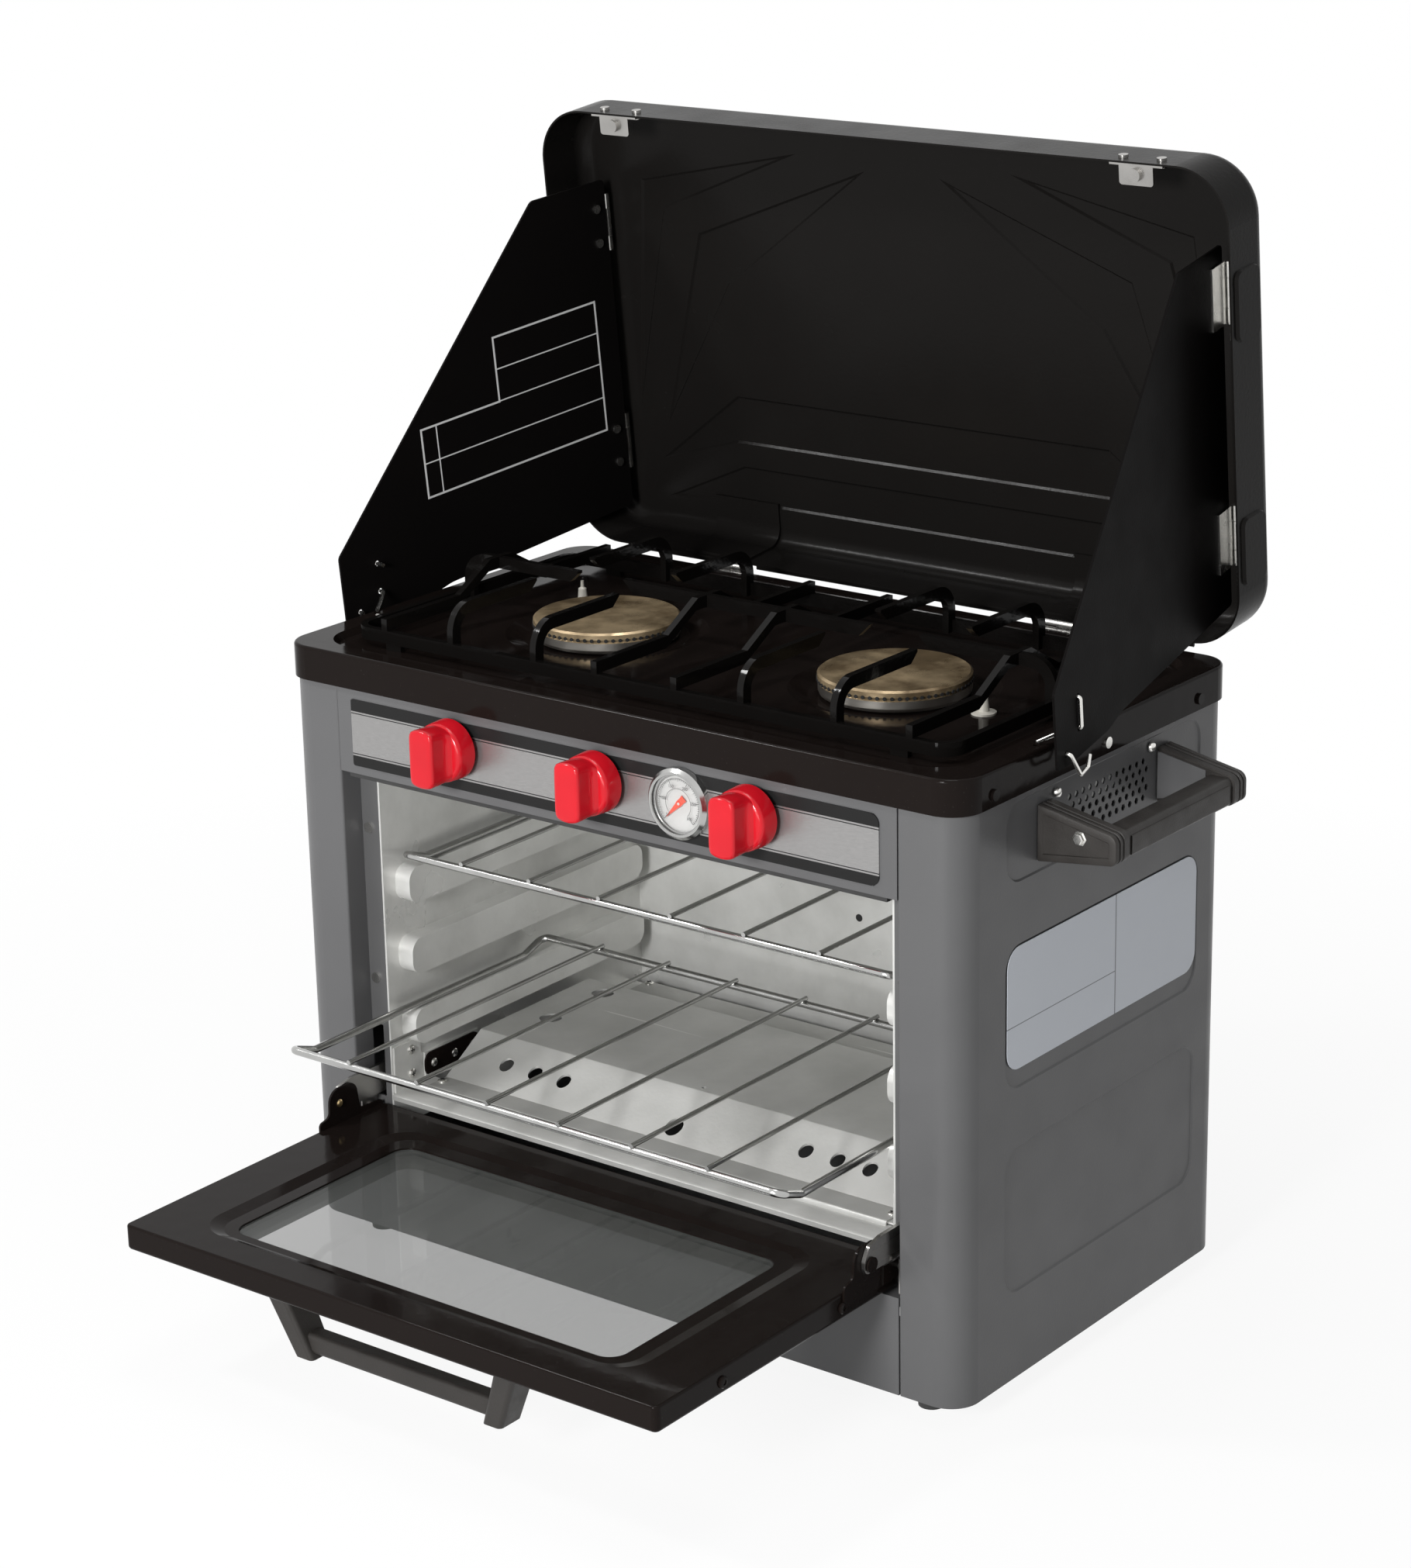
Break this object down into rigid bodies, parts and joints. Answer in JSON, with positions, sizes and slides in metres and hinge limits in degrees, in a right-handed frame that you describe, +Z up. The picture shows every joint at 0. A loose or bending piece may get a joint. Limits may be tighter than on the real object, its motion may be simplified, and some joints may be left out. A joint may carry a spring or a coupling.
{
  "type": "folding camp oven",
  "caption": "Portable gas camping oven with a two-burner cooktop under a fold-up lid with windshields, drop-down glass door, wire racks and side carrying handles.",
  "frame": {"origin": "middle of the open oven's footprint, on the ground under its feet", "axes": "+Z up, -Y towards the oven door, +X to the right as seen from the front"},
  "size_m": [0.6082, 0.549, 0.696],
  "materials": {
    "body_paint": "satin, faint brushed grain",
    "rubber": "matte",
    "faceplate": "satin",
    "liner": "aluminised, satin",
    "burner_tube": "satin",
    "gas_alloy": "plain",
    "brass": "plain",
    "bezel": "polished",
    "dial": "matte white",
    "lens": "clear",
    "needle": "satin",
    "steel": "plain",
    "black_enamel": "glossy",
    "burner_alloy": "cast, satin",
    "burner_brass": "tinted, satin",
    "ceramic": "glazed",
    "grate_enamel": "satin",
    "handle_plastic": "textured",
    "screw": "polished",
    "window": "tempered, lightly tinted",
    "rack_chrome": "polished",
    "lid_paint": "satin",
    "hinge_chrome": "bright",
    "shield_paint": "matte",
    "knob_red": "glossy"
  },
  "bodies": {
    "body": {"side_panel_right": "body_paint", "side_panel_left": "body_paint", "back_panel": "body_paint", "bottom_pan": "body_paint", "feet": "rubber", "lower_front_panel": "body_paint", "control_panel": "body_paint", "control_faceplate": "faceplate", "liner_side_right": "liner", "liner_side_left": "liner", "liner_roof": "liner", "liner_back": "liner", "oven_floor_plate": "liner", "oven_burner": "burner_tube", "gas_manifold": "gas_alloy", "gas_inlet": "brass", "gas_valves": "brass", "gas_tubes": "gas_alloy", "thermometer_bezel": "bezel", "thermometer_dial": "dial", "thermometer_lens": "lens", "thermometer_stem": "steel", "cooktop": "black_enamel", "burner_bases": "burner_alloy", "burner_caps": "burner_brass", "igniters": "ceramic", "side_handle_right": "handle_plastic", "side_handle_left": "handle_plastic", "body_screws": "screw", "door_hinge_brackets": "steel", "cooktop_hinge_leaves": "hinge_chrome"},
    "door": {"door_outer_frame": "black_enamel", "door_inner_frame": "black_enamel", "door_glass": "window", "door_handle": "handle_plastic", "door_ears": "steel"},
    "door_link_right": {"door_link_right": "steel"},
    "door_link_left": {"door_link_left": "steel"},
    "rack_lower": {"rack_lower": "rack_chrome"},
    "rack_upper": {"rack_upper": "rack_chrome"},
    "grate": {"grate": "grate_enamel"},
    "lid": {"lid": "lid_paint", "lid_hinge_leaves": "hinge_chrome", "lid_hinge_plates": "lid_paint", "lid_catches": "steel", "lid_shield_leaves": "hinge_chrome"},
    "windshield_right": {"windshield_right": "shield_paint", "shield_fittings_right": "hinge_chrome"},
    "windshield_left": {"windshield_left": "shield_paint", "shield_fittings_left": "hinge_chrome"},
    "needle": {"thermometer_needle": "needle"},
    "spindle_left": {"valve_spindle_left": "brass"},
    "knob_left": {"knob_left": "knob_red", "valve_stem_left": "brass"},
    "spindle_centre": {"valve_spindle_centre": "brass"},
    "knob_centre": {"knob_centre": "knob_red", "valve_stem_centre": "brass"},
    "spindle_right": {"valve_spindle_right": "brass"},
    "knob_right": {"knob_right": "knob_red", "valve_stem_right": "brass"}
  },
  "joints": [
    {"name": "door_hinge", "type": "hinge", "parent": "body", "child": "door", "pos_m": [0, -0.0502, 0.091], "axis": [-1, 0, 0], "range_deg": [0, 90]},
    {"name": "door_link_right_rivet", "type": "hinge", "parent": "door", "child": "door_link_right", "pos_m": [0.2048, -0.0832, 0.105], "axis": [-1, 0, 0], "range_deg": [-90, 0]},
    {"name": "door_link_left_rivet", "type": "hinge", "parent": "door", "child": "door_link_left", "pos_m": [-0.2048, -0.0832, 0.105], "axis": [-1, 0, 0], "range_deg": [-90, 0]},
    {"name": "rack_lower_slide", "type": "slide", "parent": "body", "child": "rack_lower", "axis": [0, 1, 0], "range_m": [0, 0.108]},
    {"name": "rack_upper_slide", "type": "slide", "parent": "body", "child": "rack_upper", "axis": [0, 1, 0], "range_m": [-0.108, 0]},
    {"name": "grate_lift", "type": "slide", "parent": "body", "child": "grate", "axis": [0, 0, 1], "range_m": [0, 0.06]},
    {"name": "knob_left_turn", "type": "hinge", "parent": "body", "child": "spindle_left", "pos_m": [-0.1136, -0.0532, 0.3518], "axis": [0, -1, 0], "range_deg": [0, 180]},
    {"name": "knob_left_push", "type": "slide", "parent": "spindle_left", "child": "knob_left", "axis": [0, 1, 0], "range_m": [0, 0.0024], "stiffness_N_per_m": 400, "springref_m": -0.002},
    {"name": "knob_centre_turn", "type": "hinge", "parent": "body", "child": "spindle_centre", "pos_m": [-0.0008, -0.0532, 0.3518], "axis": [0, -1, 0], "range_deg": [0, 180]},
    {"name": "knob_centre_push", "type": "slide", "parent": "spindle_centre", "child": "knob_centre", "axis": [0, 1, 0], "range_m": [0, 0.0024], "stiffness_N_per_m": 400, "springref_m": -0.002},
    {"name": "knob_right_turn", "type": "hinge", "parent": "body", "child": "spindle_right", "pos_m": [0.112, -0.0532, 0.3518], "axis": [0, -1, 0], "range_deg": [0, 180]},
    {"name": "knob_right_push", "type": "slide", "parent": "spindle_right", "child": "knob_right", "axis": [0, 1, 0], "range_m": [0, 0.0024], "stiffness_N_per_m": 400, "springref_m": -0.002},
    {"name": "needle_turn", "type": "hinge", "parent": "body", "child": "needle", "pos_m": [0.0595, -0.0652, 0.34905], "axis": [0, 1, 0], "range_deg": [0, 240]},
    {"name": "lid_hinge", "type": "hinge", "parent": "body", "child": "lid", "pos_m": [0, 0.2336, 0.397], "axis": [-1, 0, 0], "range_deg": [0, 14]},
    {"name": "windshield_right_hinge", "type": "hinge", "parent": "lid", "child": "windshield_right", "pos_m": [0.2359, 0.25278, 0.53961], "axis": [0, -0.0993, 0.9951], "range_deg": [0, 8]},
    {"name": "windshield_left_hinge", "type": "hinge", "parent": "lid", "child": "windshield_left", "pos_m": [-0.2359, 0.25278, 0.53961], "axis": [0, 0.0993, -0.9951], "range_deg": [0, 8]}
  ],
  "couplings": [
    {"joint": "door_link_right_rivet", "follows": "door_hinge", "ratio": -1},
    {"joint": "door_link_left_rivet", "follows": "door_hinge", "ratio": -1},
    {"joint": "rack_lower_slide", "follows": "door_hinge", "m_per_rad": 0.06875}
  ]
}
